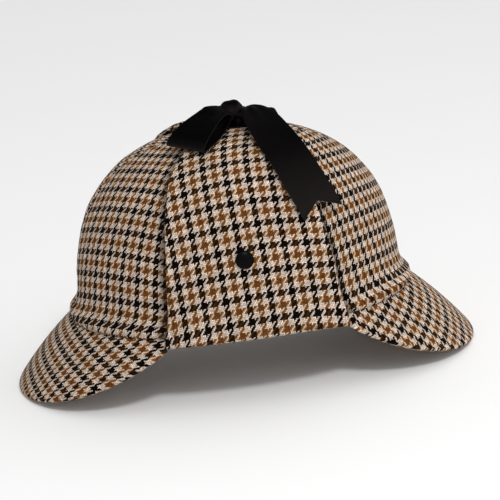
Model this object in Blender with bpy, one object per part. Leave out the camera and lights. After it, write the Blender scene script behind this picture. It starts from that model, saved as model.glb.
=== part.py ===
# A wool deerstalker hat with its ear flaps turned up and tied on top by a ribbon bow.
# Metres, +Z up, floor at z = 0. The front peak points to -Y, the wearer's left is +X.
# Heights called "rise" are measured from the rim plane, where crown, peaks and flaps meet.

import bisect
import math

import bmesh
import bpy
from mathutils import Vector

# ---- driving dimensions ---------------------------------------------------------------

RIM_HEIGHT = 0.0430          # rim plane over the floor
CLEARANCE = 0.0003           # between neighbouring pieces

CROWN_HALF_LENGTH = 0.1019   # front to back, over the outside, above the flared rim
CROWN_HALF_WIDTH = 0.0782
CROWN_RISE = 0.1062          # rim plane to the top
CROWN_ROUNDNESS = 2.62       # 2 is an ellipse, more is squarer in side view
FLARE_LENGTH = 0.0061        # how far the rim turns out at front and back
FLARE_WIDTH = 0.0023         # and under the flaps
FLARE_RISE = 0.0090
CROWN_WALL = 0.0025          # cloth and its backing
SIDE_GORE_HALF_ANGLE = 26    # degrees seen from above: its seams lie under the ear flap
GORE_GRID = (8, 14)          # faces across and up
TOP_HOLE_SHARE = 0.0074      # of the way up, left open where the gores' points meet

PEAK_WALL = 0.0030           # two cloths over a stiff board
PEAK_HALF_ANGLE = math.radians(58.6)
PEAK_ROOT_INSET = 0.0017     # the root lies under the crown's edge
PEAK_ROOT_DROP = 0.00145
PEAK_HORN = 0.10             # least width at the horns, as a share of the full width
PEAK_CROWNING = 0.0016       # outward curve between root and edge
PEAK_GRID = (28, 5)          # faces round and out

FLAP_WALL = 0.0030
FLAP_SEAT = 0.0008           # air between flap and crown along the middle
FLAP_STAND_OFF = 0.0026      # more air along the flap's side edges
FLAP_BASE_HALF_WIDTH = 0.0520
FLAP_END = 0.945             # share of the way from rim to top
FLAP_HEM_INSET = 0.0012      # how far the hem runs in under the crown's wall
FLAP_HEM_TURN = 0.35         # share of the hem that lies flat before it turns up
FLAP_GRID = (14, 20)         # faces across and up
FLAP_HEM_ROWS = 4            # the lowest of these, which make the turned hem

RIBBON_WALL = 0.0010
RIBBON_WIDTH = 0.0285
LOOP_GRID = (3, 34)          # faces across and along
TAIL_GRID = (4, 22)
TAIL_STRAIGHT = 1.10         # length with the straight end, as a share of the stations'
TAIL_LENGTH = 0.0750         # nearly, from the knot to the tips
TAIL_NOTCH = 0.0080          # depth of the inverted V cut in a tail's end
TAIL_NOTCH_POWER = 6         # keeps the cut near the end
TIE_GRID = (3, 5)
TIE_START = 0.0006           # from the middle of the hat, under the knot
TIE_LENGTH = 0.0150
TIE_REAR = 0.0080            # its middle line, behind the middle of the hat
TIE_WIDTH = (0.50, 0.58)     # share of the ribbon, under the knot and at the flap

KNOT_CENTRE = Vector((0.0, 0.0055, 0.1182))   # over the rim plane
KNOT_RADIUS = 0.0075
KNOT_HALF_HEIGHT = 0.0063
KNOT_GRID = (16, 10)

STUD_RADIUS = 0.0055
STUD_HEIGHT = 0.0022
STUD_TAPER = 0.86            # radius at the shoulder
STUD_DOME = 0.35             # width and a quarter of it height of the domed edge
STUD_SIDES = 20
STUD_PLACE = (0.300, -0.07)  # share of the way up the flap, share of its half width

# ---- tables ---------------------------------------------------------------------------

# Each peak: plan direction, reach past the rim, fall below the root, and how full the
# crescent is (a higher power keeps its width further round).
PEAKS = {
    #  name        (facing, reach,  fall,   fullness)
    "front_peak": (-1, 0.0389, 0.0414, 2.05),
    "rear_peak": (1, 0.0389, 0.0414, 2.40),
}

# Flap outline: share of the way up, half width as a share of the base, shift to the rear.
FLAP_OUTLINE = (
    # (share, width, shift)
    (0.00, 1.00, 0.0000),
    (0.30, 0.92, -0.0010),
    (0.55, 0.80, -0.0025),
    (0.75, 0.65, -0.0010),
    (0.88, 0.44, 0.0030),
    (1.00, 0.16, 0.0070),
)

# Ribbon stations: place on the crown seen from above (left, rear), height of the ribbon's
# middle over the crown, width as a share of the full ribbon, and roll about its own run.
# Each loop also keeps one heading, in degrees seen from above from the wearer's left.
LOOP_LEFT_HEADING = -40
LOOP_LEFT_STATIONS = (
    # (left,    rear,     lift,   width, roll)
    (0.00545, -0.00015, 0.0140, 0.36, -20),
    (0.0092, -0.0048, 0.0152, 0.50, -16),
    (0.0145, -0.0105, 0.0142, 0.66, -6),
    (0.0225, -0.0184, 0.0124, 0.84, -2),
    (0.0298, -0.0246, 0.0110, 0.93, 0),
    (0.0332, -0.0270, 0.0090, 0.94, 1),
    (0.0305, -0.0240, 0.0070, 0.94, 2),
    (0.0235, -0.0160, 0.0068, 0.90, 1),
    (0.0150, -0.0080, 0.0076, 0.68, 0),
    (0.0066, 0.0010, 0.0098, 0.36, 0),
)
LOOP_RIGHT_HEADING = 178
LOOP_RIGHT_STATIONS = (
    (-0.0078, 0.0034, 0.0118, 0.36, 0),
    (-0.0120, 0.0022, 0.0120, 0.48, 4),
    (-0.0180, 0.0010, 0.0114, 0.58, 5),
    (-0.0255, 0.0000, 0.0102, 0.64, 5),
    (-0.0315, -0.0003, 0.0091, 0.64, 4),
    (-0.0338, -0.0004, 0.0075, 0.64, 2),
    (-0.0315, -0.0003, 0.0060, 0.64, 0),
    (-0.0240, 0.0002, 0.0060, 0.60, 0),
    (-0.0155, 0.0018, 0.0070, 0.52, 0),
    (-0.0078, 0.0034, 0.0092, 0.36, 0),
)
TAIL_LEFT_STATIONS = (
    (0.0060, 0.0108, 0.0128, 0.40, 0),
    (0.0098, 0.0152, 0.0158, 0.62, -6),
    (0.0158, 0.0188, 0.0138, 0.86, -8),
    (0.0250, 0.0224, 0.0098, 0.98, -5),
    (0.0363, 0.0266, 0.0076, 1.00, 0),
    (0.0474, 0.0318, 0.0074, 1.00, 0),
    (0.0548, 0.0364, 0.0074, 1.00, 0),
    (0.0596, 0.0414, 0.0076, 1.00, 0),
)
TAIL_RIGHT_STATIONS = (
    (-0.0048, 0.0122, 0.0110, 0.36, 0),
    (-0.0090, 0.0170, 0.0104, 0.54, 0),
    (-0.0150, 0.0208, 0.0092, 0.70, 0),
    (-0.0240, 0.0228, 0.0082, 0.82, 0),
    (-0.0350, 0.0242, 0.0076, 0.92, 0),
    (-0.0450, 0.0260, 0.0074, 1.00, 0),
    (-0.0530, 0.0280, 0.0074, 1.00, 0),
    (-0.0595, 0.0305, 0.0076, 1.00, 0),
)

COLOURS = {
    # surface: (red, green, blue, roughness)
    "check_cloth": (0.42, 0.33, 0.25, 0.92),
    "ribbon": (0.012, 0.010, 0.012, 0.62),
    "stud": (0.010, 0.010, 0.011, 0.45),
}

# ---- the crown as a surface -----------------------------------------------------------


def interpolate(table, share):
    """Read a table whose first column rises, with straight lines between its rows."""
    keys = [row[0] for row in table]
    upper = min(max(bisect.bisect_right(keys, share), 1), len(table) - 1)
    low, high = table[upper - 1], table[upper]
    part = min(max((share - low[0]) / (high[0] - low[0]), 0.0), 1.0)
    return [a + (b - a) * part for a, b in zip(low[1:], high[1:])]


def profile(angle):
    """The crown's upright section: share of the half width, and rise."""
    power = 2.0 / CROWN_ROUNDNESS
    return max(math.cos(angle), 0.0) ** power, CROWN_RISE * math.sin(angle) ** power


def arc_table(steps=400):
    """Arc length along the section against its angle, as (share of length, angle) rows."""
    half = (CROWN_HALF_LENGTH + CROWN_HALF_WIDTH) / 2
    rows, length, last = [], 0.0, None
    for step in range(steps + 1):
        angle = math.pi / 2 * step / steps
        share, rise = profile(angle)
        if last:
            length += math.hypot(half * share - last[0], rise - last[1])
        last = (half * share, rise)
        rows.append((length, angle))
    return [(length_so_far / length, angle) for length_so_far, angle in rows]


ARC = arc_table()


def crown_skin(plan_angle, climb):
    """A point on the crown's outside. climb runs from 0 at the rim to 1 at the top."""
    share, rise = profile(interpolate(ARC, climb)[0])
    flare = math.exp(-((rise / FLARE_RISE) ** 2))
    return Vector((
        (CROWN_HALF_WIDTH * share + FLARE_WIDTH * flare) * math.cos(plan_angle),
        (CROWN_HALF_LENGTH * share + FLARE_LENGTH * flare) * math.sin(plan_angle),
        rise,
    ))


def crown_point(plan_angle, climb, depth=0.0):
    """A point at a depth under the crown's outside, square to it."""
    step = 0.004
    top = min(climb, 1 - 2 * step)
    along = crown_skin(plan_angle + step, top) - crown_skin(plan_angle - step, top)
    up = crown_skin(plan_angle, top + step) - crown_skin(plan_angle, max(top - step, 0))
    inward = up.cross(along).normalized()
    if climb == 0:
        inward.z = 0
        inward.normalize()
    return crown_skin(plan_angle, climb) + inward * depth


def shell_value(point):
    """Below 0 inside the crown's plain form, above 0 outside it."""
    plan = math.hypot(point.x / CROWN_HALF_WIDTH, point.y / CROWN_HALF_LENGTH)
    rise = max(point.z, 0.0) / CROWN_RISE
    return plan ** CROWN_ROUNDNESS + rise ** CROWN_ROUNDNESS - 1


def shell_normal(point):
    """Outward direction of the plain form near a point."""
    step = 0.0002
    slope = [
        shell_value(point + axis * step) - shell_value(point - axis * step)
        for axis in (Vector((1, 0, 0)), Vector((0, 1, 0)), Vector((0, 0, 1)))
    ]
    return Vector(slope).normalized()


def drop_on_crown(point, direction):
    """Slide a point from outside along a direction until it meets the plain form."""
    near, far = 0.0, 0.12
    for _ in range(40):
        middle = (near + far) / 2
        if shell_value(point + direction * middle) > 0:
            near = middle
        else:
            far = middle
    return point + direction * near


# ---- building blocks ------------------------------------------------------------------


def surface(name):
    """A cloth, ribbon or stud material."""
    material = bpy.data.materials.get(name)
    if material is None:
        red, green, blue, roughness = COLOURS[name]
        material = bpy.data.materials.new(name)
        material.use_nodes = True
        shader = material.node_tree.nodes["Principled BSDF"]
        shader.inputs["Base Color"].default_value = (red, green, blue, 1)
        shader.inputs["Roughness"].default_value = roughness
        shader.inputs["Metallic"].default_value = 0.0
    return material


def finish_object(name, mesh_builder, look, sharp_degrees=50):
    """Turn a bmesh into a named, smooth-shaded object standing on its place over the floor."""
    bmesh.ops.recalc_face_normals(mesh_builder, faces=mesh_builder.faces)
    if mesh_builder.calc_volume(signed=True) < 0:
        bmesh.ops.reverse_faces(mesh_builder, faces=mesh_builder.faces)
    mesh = bpy.data.meshes.new(name)
    mesh_builder.to_mesh(mesh)
    mesh_builder.free()
    mesh.shade_smooth()
    mesh.set_sharp_from_angle(angle=math.radians(sharp_degrees))
    mesh.materials.append(surface(look))
    thing = bpy.data.objects.new(name, mesh)
    thing.location.z = RIM_HEIGHT
    bpy.context.scene.collection.objects.link(thing)
    return thing


def cloth_panel(columns, rows, place):
    """A closed cloth wall: a grid, extruded, with place(across, up, side) for each corner.

    across and up run from 0 to 1, side is 0 on the outer face and 1 on the inner one.
    """
    work = bmesh.new()
    bmesh.ops.create_grid(work, x_segments=columns, y_segments=rows, size=0.5)
    across = work.verts.layers.float.new("across")
    up = work.verts.layers.float.new("up")
    for corner in work.verts:
        corner[across] = corner.co.x + 0.5
        corner[up] = corner.co.y + 0.5
    outer = list(work.verts)
    made = bmesh.ops.extrude_face_region(work, geom=list(work.faces), use_keep_orig=True)
    inner = [item for item in made["geom"] if isinstance(item, bmesh.types.BMVert)]
    for side, corners in enumerate((outer, inner)):
        for corner in corners:
            corner.co = place(corner[across], corner[up], side)
    return work


def wall_from_middle(middle, thickness):
    """Make a place function for cloth_panel from a function of the wall's middle surface."""
    step = 0.01

    def place(across, up, side):
        a0, a1 = max(across - step, 0), min(across + step, 1)
        u0, u1 = max(up - step, 0), min(up + step, 1)
        run = middle(a1, up) - middle(a0, up)
        rise = middle(across, u1) - middle(across, u0)
        outward = run.cross(rise).normalized()
        return middle(across, up) + outward * thickness * (0.5 - side)

    return place


# ---- crown ----------------------------------------------------------------------------


def gore(name, first_angle, last_angle):
    """One of the crown's tapering cloth pieces, a seam's gap short of its neighbours."""
    def place(across, up, side):
        climb = (1 - TOP_HOLE_SHARE) * up
        radius = crown_skin(first_angle, climb).xy.length
        seam = CLEARANCE / 2 / radius
        start, end = first_angle + seam, last_angle - seam
        return crown_point(start + (end - start) * across, climb, CROWN_WALL * side)

    return finish_object(name, cloth_panel(*GORE_GRID, place), "check_cloth")


def build_crown():
    side = SIDE_GORE_HALF_ANGLE
    gores = (
        # (name, first seam, last seam), in degrees from the left side round by the rear
        ("crown_side_left", -side, side),
        ("crown_back_left", side, 90),
        ("crown_back_right", 90, 180 - side),
        ("crown_side_right", 180 - side, 180 + side),
        ("crown_front_right", 180 + side, 270),
        ("crown_front_left", 270, 360 - side),
    )
    for name, first, last in gores:
        gore(name, math.radians(first), math.radians(last))


# ---- peaks ----------------------------------------------------------------------------


def peak(name, facing, reach, fall, fullness):
    """A crescent board in cloth, sloping out and down from the crown's edge."""
    root_length = CROWN_HALF_LENGTH + FLARE_LENGTH - PEAK_ROOT_INSET
    root_width = CROWN_HALF_WIDTH + FLARE_WIDTH - PEAK_ROOT_INSET

    def middle(across, outward):
        share = 2 * across - 1
        turn = share * PEAK_HALF_ANGLE
        span = PEAK_HORN + (1 - PEAK_HORN) * (1 - abs(share) ** fullness)
        away = Vector((math.sin(turn) / root_width, math.cos(turn) / root_length, 0)).normalized()
        down = Vector((0, 0, -1))
        slope = away * reach + down * fall
        lift = away * fall - down * reach
        point = Vector((root_width * math.sin(turn), root_length * math.cos(turn), -PEAK_ROOT_DROP))
        point += slope * span * outward
        point += lift.normalized() * PEAK_CROWNING * span * 4 * outward * (1 - outward)
        point.y *= facing
        return point

    work = cloth_panel(*PEAK_GRID, wall_from_middle(middle, PEAK_WALL * -facing))
    flatten_on_floor(work)
    return finish_object(name, work, "check_cloth")


def flatten_on_floor(work):
    """Press the lowest edge flat where the peak stands on the floor."""
    cut = bmesh.ops.bisect_plane(
        work, geom=list(work.verts) + list(work.edges) + list(work.faces), dist=1e-6,
        plane_co=(0, 0, -RIM_HEIGHT), plane_no=(0, 0, 1), clear_inner=True)
    rim = [item for item in cut["geom_cut"] if isinstance(item, bmesh.types.BMEdge)]
    bmesh.ops.holes_fill(work, edges=rim, sides=0)


# ---- ear flaps ------------------------------------------------------------------------


def flared(seat):
    """Carry a point of the crown's plain form out to its flared rim."""
    plan_angle = math.atan2(seat.y / CROWN_HALF_LENGTH, seat.x / CROWN_HALF_WIDTH)
    flare = math.exp(-((seat.z / FLARE_RISE) ** 2))
    return seat + Vector((FLARE_WIDTH * flare * math.cos(plan_angle),
                          FLARE_LENGTH * flare * math.sin(plan_angle), 0))


def flap_middle(side, across, share):
    """The middle of the left flap's cloth over the crown, or of the right one's."""
    width, shift = interpolate(FLAP_OUTLINE, share)
    span = 2 * across - 1
    centre = crown_skin(0.0, share * FLAP_END)
    centre.x -= FLARE_WIDTH * math.exp(-((centre.z / FLARE_RISE) ** 2))
    facing = shell_normal(centre)
    clear = facing * CROWN_HALF_WIDTH * 0.3
    start = centre + clear + Vector((0, shift + span * FLAP_BASE_HALF_WIDTH * width, 0))
    seat = drop_on_crown(start, -facing)
    stand_off = FLAP_STAND_OFF * abs(span) ** 2.5 * math.sin(math.pi * share) ** 0.5
    point = flared(seat) + shell_normal(seat) * (FLAP_SEAT + FLAP_WALL / 2 + stand_off)
    point.x *= side
    return point


def hem_middle(side, across, turned):
    """The hem: from under the crown's wall, round its lower corner, up to the flap."""
    top = flap_middle(1, across, 0.0)
    span = 2 * across - 1
    start = Vector((CROWN_HALF_WIDTH * 1.3, span * FLAP_BASE_HALF_WIDTH, 0))
    corner = flared(drop_on_crown(start, Vector((-1, 0, 0))))
    outward = (top - corner).normalized()
    side_radius = (top - corner).length
    low_radius = FLAP_WALL / 2 + CLEARANCE
    if turned < FLAP_HEM_TURN:
        point = corner - Vector((0, 0, low_radius))
        point -= outward * FLAP_HEM_INSET * (1 - turned / FLAP_HEM_TURN)
    else:
        swing = (turned - FLAP_HEM_TURN) / (1 - FLAP_HEM_TURN) * math.pi / 2
        radius = low_radius + (side_radius - low_radius) * math.sin(swing)
        point = corner + outward * radius * math.sin(swing)
        point -= Vector((0, 0, radius * math.cos(swing)))
    point.x *= side
    return point


def flap(name, side):
    """Double cloth, sewn under the rim and turned up over the crown's side."""
    hem_share = FLAP_HEM_ROWS / FLAP_GRID[1]

    def middle(across, up):
        if up < hem_share:
            return hem_middle(side, across, up / hem_share)
        return flap_middle(side, across, (up - hem_share) / (1 - hem_share))

    place = wall_from_middle(middle, FLAP_WALL * side)
    return finish_object(name, cloth_panel(*FLAP_GRID, place), "check_cloth")


# ---- ribbon ---------------------------------------------------------------------------


def smooth_station(stations, position):
    """A Catmull-Rom curve through the stations, each a list of numbers."""
    last = len(stations) - 1
    index = min(int(position * last), last - 1)
    part = position * last - index
    rows = [stations[min(max(index + offset, 0), last)] for offset in (-1, 0, 1, 2)]
    return [
        0.5 * (2 * b + (c - a) * part + (2 * a - 5 * b + 4 * c - d) * part ** 2
               + (3 * b - a - 3 * c + d) * part ** 3)
        for a, b, c, d in zip(*rows)
    ]


def over_crown(left, rear, lift):
    """A point over the crown at a height square to it."""
    seat = drop_on_crown(Vector((left, rear, CROWN_RISE + 0.01)), Vector((0, 0, -1)))
    return seat + shell_normal(seat) * lift, shell_normal(seat)


def ribbon_middle(stations, across, along, heading=None):
    """A point on the ribbon's middle surface. A loop gives the one heading it keeps."""
    left, rear, lift, width, roll = smooth_station(stations, along)
    point, normal = over_crown(left, rear, lift)
    if heading is None:
        step = 0.01
        before = over_crown(*smooth_station(stations, max(along - step, 0))[:3])[0]
        after = over_crown(*smooth_station(stations, min(along + step, 1))[:3])[0]
        heading = after - before
    sideways = normal.cross(heading - normal * heading.dot(normal)).normalized()
    tilt = math.radians(roll)
    direction = sideways * math.cos(tilt) + normal * math.sin(tilt)
    return point + direction * RIBBON_WIDTH * width * (across - 0.5)


def bow_loop(name, stations, heading_degrees):
    """A loop: out over the crown, round a soft turn and back under itself to the knot."""
    turn = math.radians(heading_degrees)
    heading = Vector((math.cos(turn), math.sin(turn), 0))

    def middle(across, along):
        return ribbon_middle(stations, across, along, heading)

    return finish_object(name, cloth_panel(*LOOP_GRID, ribbon_wall(middle)), "ribbon")


def ribbon_wall(middle):
    """Thickness for a ribbon that turns over on itself: its face follows the turn."""
    step, wide_step = 0.006, 0.05

    def place(across, along, face):
        a0, a1 = max(across - wide_step, 0), min(across + wide_step, 1)
        u0, u1 = max(along - step, 0), min(along + step, 1)
        sideways = middle(a1, along) - middle(a0, along)
        run = middle(across, u1) - middle(across, u0)
        outward = run.cross(sideways).normalized()
        return middle(across, along) + outward * RIBBON_WALL * (0.5 - face)

    return place


def bow_tail(name, stations):
    """A tail that ends in an inverted V: the middle of its end is cut back."""
    step = 0.03

    def middle(across, along):
        cut = 1 - TAIL_NOTCH / TAIL_LENGTH * (1 - abs(2 * across - 1)) * along ** TAIL_NOTCH_POWER
        position = along * cut * TAIL_STRAIGHT
        if position <= 1:
            return ribbon_middle(stations, across, position)
        end = ribbon_middle(stations, across, 1)
        back = ribbon_middle(stations, across, 1 - step)
        return end + (end - back) / step * (position - 1)

    return finish_object(name, cloth_panel(*TAIL_GRID, ribbon_wall(middle)), "ribbon")


def ribbon_tie(name, side):
    """The ribbon's sewn start, lying on the flap's tip and running under the knot."""
    lift = FLAP_SEAT + FLAP_WALL + 2 * CLEARANCE + RIBBON_WALL / 2
    narrow, wide = TIE_WIDTH
    stations = tuple(
        (side * (TIE_START + TIE_LENGTH * part), TIE_REAR, lift,
         narrow + (wide - narrow) * part, 0)
        for part in (0.0, 0.25, 0.5, 0.75, 1.0)
    )

    def middle(across, along):
        return ribbon_middle(stations, across, along)

    return finish_object(name, cloth_panel(*TIE_GRID, ribbon_wall(middle)), "ribbon")


def build_knot():
    work = bmesh.new()
    around, up = KNOT_GRID
    bmesh.ops.create_uvsphere(work, u_segments=around, v_segments=up, radius=KNOT_RADIUS)
    for corner in work.verts:
        corner.co.z *= KNOT_HALF_HEIGHT / KNOT_RADIUS
        corner.co += KNOT_CENTRE
    finish_object("bow_knot", work, "ribbon")


# ---- stud -----------------------------------------------------------------------------


def build_stud():
    """A low round stud, square to the left flap."""
    share, span = STUD_PLACE
    across = 0.5 + span / 2
    step = 0.02
    place = flap_middle(1, across, share)
    run = flap_middle(1, across + step, share) - flap_middle(1, across - step, share)
    climb = flap_middle(1, across, share + step) - flap_middle(1, across, share - step)
    outward = run.cross(climb).normalized()
    base = place + outward * (FLAP_WALL / 2 + CLEARANCE)
    work = bmesh.new()
    bmesh.ops.create_cone(work, cap_ends=True, segments=STUD_SIDES, radius1=STUD_RADIUS,
                          radius2=STUD_RADIUS * STUD_TAPER, depth=STUD_HEIGHT)
    upper = [face for face in work.faces if face.normal.z > 0.9]
    bmesh.ops.inset_region(work, faces=upper, thickness=STUD_RADIUS * STUD_DOME,
                           depth=STUD_RADIUS * STUD_DOME / 4)
    bmesh.ops.translate(work, verts=work.verts, vec=(0, 0, STUD_HEIGHT / 2))
    turn = outward.to_track_quat("Z", "Y").to_matrix().to_4x4()
    turn.translation = base
    bmesh.ops.transform(work, matrix=turn, verts=work.verts)
    finish_object("flap_stud", work, "stud", sharp_degrees=35)


# ---- assembly -------------------------------------------------------------------------


def clear_scene():
    for thing in list(bpy.data.objects):
        bpy.data.objects.remove(thing, do_unlink=True)


clear_scene()
build_crown()
for peak_name, (facing, reach, fall, fullness) in PEAKS.items():
    peak(peak_name, facing, reach, fall, fullness)
flap("ear_flap_left", 1)
flap("ear_flap_right", -1)
ribbon_tie("ribbon_tie_left", 1)
ribbon_tie("ribbon_tie_right", -1)
build_knot()
bow_loop("bow_loop_left", LOOP_LEFT_STATIONS, LOOP_LEFT_HEADING)
bow_loop("bow_loop_right", LOOP_RIGHT_STATIONS, LOOP_RIGHT_HEADING)
bow_tail("bow_tail_left", TAIL_LEFT_STATIONS)
bow_tail("bow_tail_right", TAIL_RIGHT_STATIONS)
build_stud()
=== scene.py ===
"""A checked wool deerstalker hat, standing on its two peaks with its ear flaps tied up.

Metres, +Z up, floor at z = 0. The front peak points to -Y and the wearer's left is +X.
"""

import math

import bpy
import numpy as np
from mathutils import Matrix


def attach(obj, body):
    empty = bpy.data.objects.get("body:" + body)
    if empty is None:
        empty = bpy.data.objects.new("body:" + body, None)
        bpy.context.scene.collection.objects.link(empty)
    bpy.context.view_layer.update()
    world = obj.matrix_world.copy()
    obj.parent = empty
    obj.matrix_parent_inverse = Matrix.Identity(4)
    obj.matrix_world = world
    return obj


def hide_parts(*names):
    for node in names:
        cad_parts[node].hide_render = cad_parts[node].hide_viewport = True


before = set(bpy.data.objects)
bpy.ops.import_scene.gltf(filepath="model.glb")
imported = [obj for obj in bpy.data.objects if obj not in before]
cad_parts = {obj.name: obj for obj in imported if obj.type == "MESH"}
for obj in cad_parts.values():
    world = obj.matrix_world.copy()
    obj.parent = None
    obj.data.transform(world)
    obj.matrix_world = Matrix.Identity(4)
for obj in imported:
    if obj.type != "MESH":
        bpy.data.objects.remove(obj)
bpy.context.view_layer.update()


# ---- crown ------------------------------------------------------------------------------
# Six tapering gores of gun-club check wool, backed and seamed from the rim to the top.
# The cloth swells a little between its seams, puckers beside them and flares at the rim,
# where it is turned under and sewn to the peaks.

RIM_HEIGHT = 0.0430         # of the crown's lower edge above the floor
HALF_LENGTH = 0.1019        # of the dome at its rim, without the flare
HALF_WIDTH = 0.0782
CROWN_RISE = 0.1062
ROUNDNESS = 2.62            # of the dome's outline: 2 is an ellipse, and more is squarer
FLARE_LENGTH = 0.0061       # how far the rim flares, at its ends and at its sides
FLARE_WIDTH = 0.0023
FLARE_RISE = 0.0090
TUCK = 0.0009               # how far the turned-under edge draws in again
TUCK_RISE = 0.0040
ROLL = 0.0016               # a soft roll of cloth, just above the peaks' seams
ROLL_RISE = 0.0044
ROLL_SPREAD = 0.0030
RIM_DROP = 0.0009           # how far the rim comes down over the peaks' roots
RIM_DROP_RISE = 0.0080
ROLL_START = 0.55           # sine of the turn at which the roll and drop begin
ROLL_FADE = 0.08
GORE_GRID = (96, 84)        # faces across and up
GORE_WALL = 0.0025
GORE_EDGE = 0.0008          # radius of the wall's turned edges
GORE_TOP = 0.9926           # how far up the dome the gores' points reach
GORE_SWELL = 0.0006
GORE_UNEVENNESS = 0.00035
SEAM_GAP = 0.0001
PUCKER = 0.00018            # depth of the small waves beside a seam
PUCKER_LENGTH = 0.0085
PUCKER_REACH = 0.0060
SIDE_SEAM = 26              # degrees from the middle of the side to a side gore's seams

TURNS = (0.22, 0.45, 0.72, 1.0)     # how far round each grid line of a rolled edge lies
MOST_EDGE = 0.45                    # most of a wall's width that one rolled edge takes

THREADS = (0.000828, 0.000885)      # from one thread to the next, in the warp and the weft
BAND = 4                            # threads of one colour side by side
REPEAT = 16
BLACK_SPREAD = 0.18                 # how far a band's colour spreads, in threads
RUST_SPREAD = 0.0
WARP_PLUMPNESS = 0.45               # threads by which a dark float is longer than two
WEFT_PLUMPNESS = -0.05
STEP_SOFTNESS = 0.7                 # of the twill's steps: 0 is square, 1 a straight line
WANDER = 0.00075                    # how far a yarn strays, and its turns in a metre
WANDER_TURNS = 700
FIBRES = 2600                       # in a metre of cloth
FLECKS = 420
TONES = 22
# painted shadow beside the flaps' edges: its patches in a metre, and how dark it is
PAINTED_SHADOW_BREAKS = 110
PAINTED_SHADOW_STRENGTH = 0.66                 # how much of the light the painted shadow beside a flap's edge takes
CLOTH_RELIEF = 0.00035
YARNS = (
    # (its colour over cream, over rust, over black), for cream, rust and black yarn
    ((0.98, 0.80, 0.665), (0.88, 0.62, 0.40), (0.78, 0.63, 0.52)),
    ((0.26, 0.110, 0.038), (0.215, 0.071, 0.017), (0.065, 0.026, 0.008)),
    ((0.0060, 0.0034, 0.0020), (0.0165, 0.0076, 0.0030), (0.0048, 0.0029, 0.0018)),
)


class Wire:
    """A socket of a material's nodes that can be written in sums like a number."""

    def __init__(self, tree, socket=None):
        self.tree = tree
        self.socket = socket

    def add(self, kind, settings=None, sockets=None, output=0):
        """A new node. Its settings are set first, then its sockets get values or links."""
        node = self.tree.nodes.new("ShaderNode" + kind)
        for name, value in (settings or {}).items():
            setattr(node, name, value)
        for place, value in (sockets or {}).items():
            self.feed(node, place, value)
        return Wire(self.tree, node.outputs[output])

    def feed(self, node, place, value):
        if isinstance(value, Wire):
            self.tree.links.new(value.socket, node.inputs[place])
        else:
            node.inputs[place].default_value = value

    def maths(self, operation, first, second=0.0):
        return self.add("Math", {"operation": operation}, {0: first, 1: second})

    def mix(self, share, low, high):
        """A colour between two others."""
        low, high = (v if isinstance(v, Wire) else (*v, 1) for v in (low, high))
        return self.add("Mix", {"data_type": "RGBA"}, {0: share, 6: low, 7: high}, output=2)

    def noise(self, place, scale, detail=2.0, output=0):
        """Soft random values between 0 and 1, or a colour of three of them."""
        sockets = {"Vector": place, "Scale": scale, "Detail": detail}
        return self.add("TexNoise", sockets=sockets, output=output)

    def part(self, axis):
        """One coordinate of a place or a direction."""
        return self.add("SeparateXYZ", sockets={0: self}, output=axis)

    def scaled(self, size):
        """A colour or a vector, made larger or smaller all through."""
        return self.add("VectorMath", {"operation": "SCALE"}, {0: self, "Scale": size})

    def floor(self):
        return self.maths("FLOOR", self)

    def __add__(self, other):
        return self.maths("ADD", self, other)

    def __sub__(self, other):
        return self.maths("SUBTRACT", self, other)

    def __rsub__(self, other):
        return self.maths("SUBTRACT", other, self)

    def __mul__(self, other):
        return self.maths("MULTIPLY", self, other)

    def __truediv__(self, other):
        return self.maths("DIVIDE", self, other)

    def __mod__(self, other):
        return self.maths("FLOORED_MODULO", self, other)

    def __lt__(self, other):
        return self.maths("LESS_THAN", self, other)

    __radd__ = __add__
    __rmul__ = __mul__


def new_material(name):
    """A material, a wire to build on, and its shader."""
    material = bpy.data.materials.new(name)
    material.use_nodes = True
    return material, Wire(material.node_tree), material.node_tree.nodes["Principled BSDF"]


def in_band(place, first, spread):
    """Whether a place, counted in threads, is in the band that starts at the first."""
    return (place - first + spread) % REPEAT < BAND + 2 * spread


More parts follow.
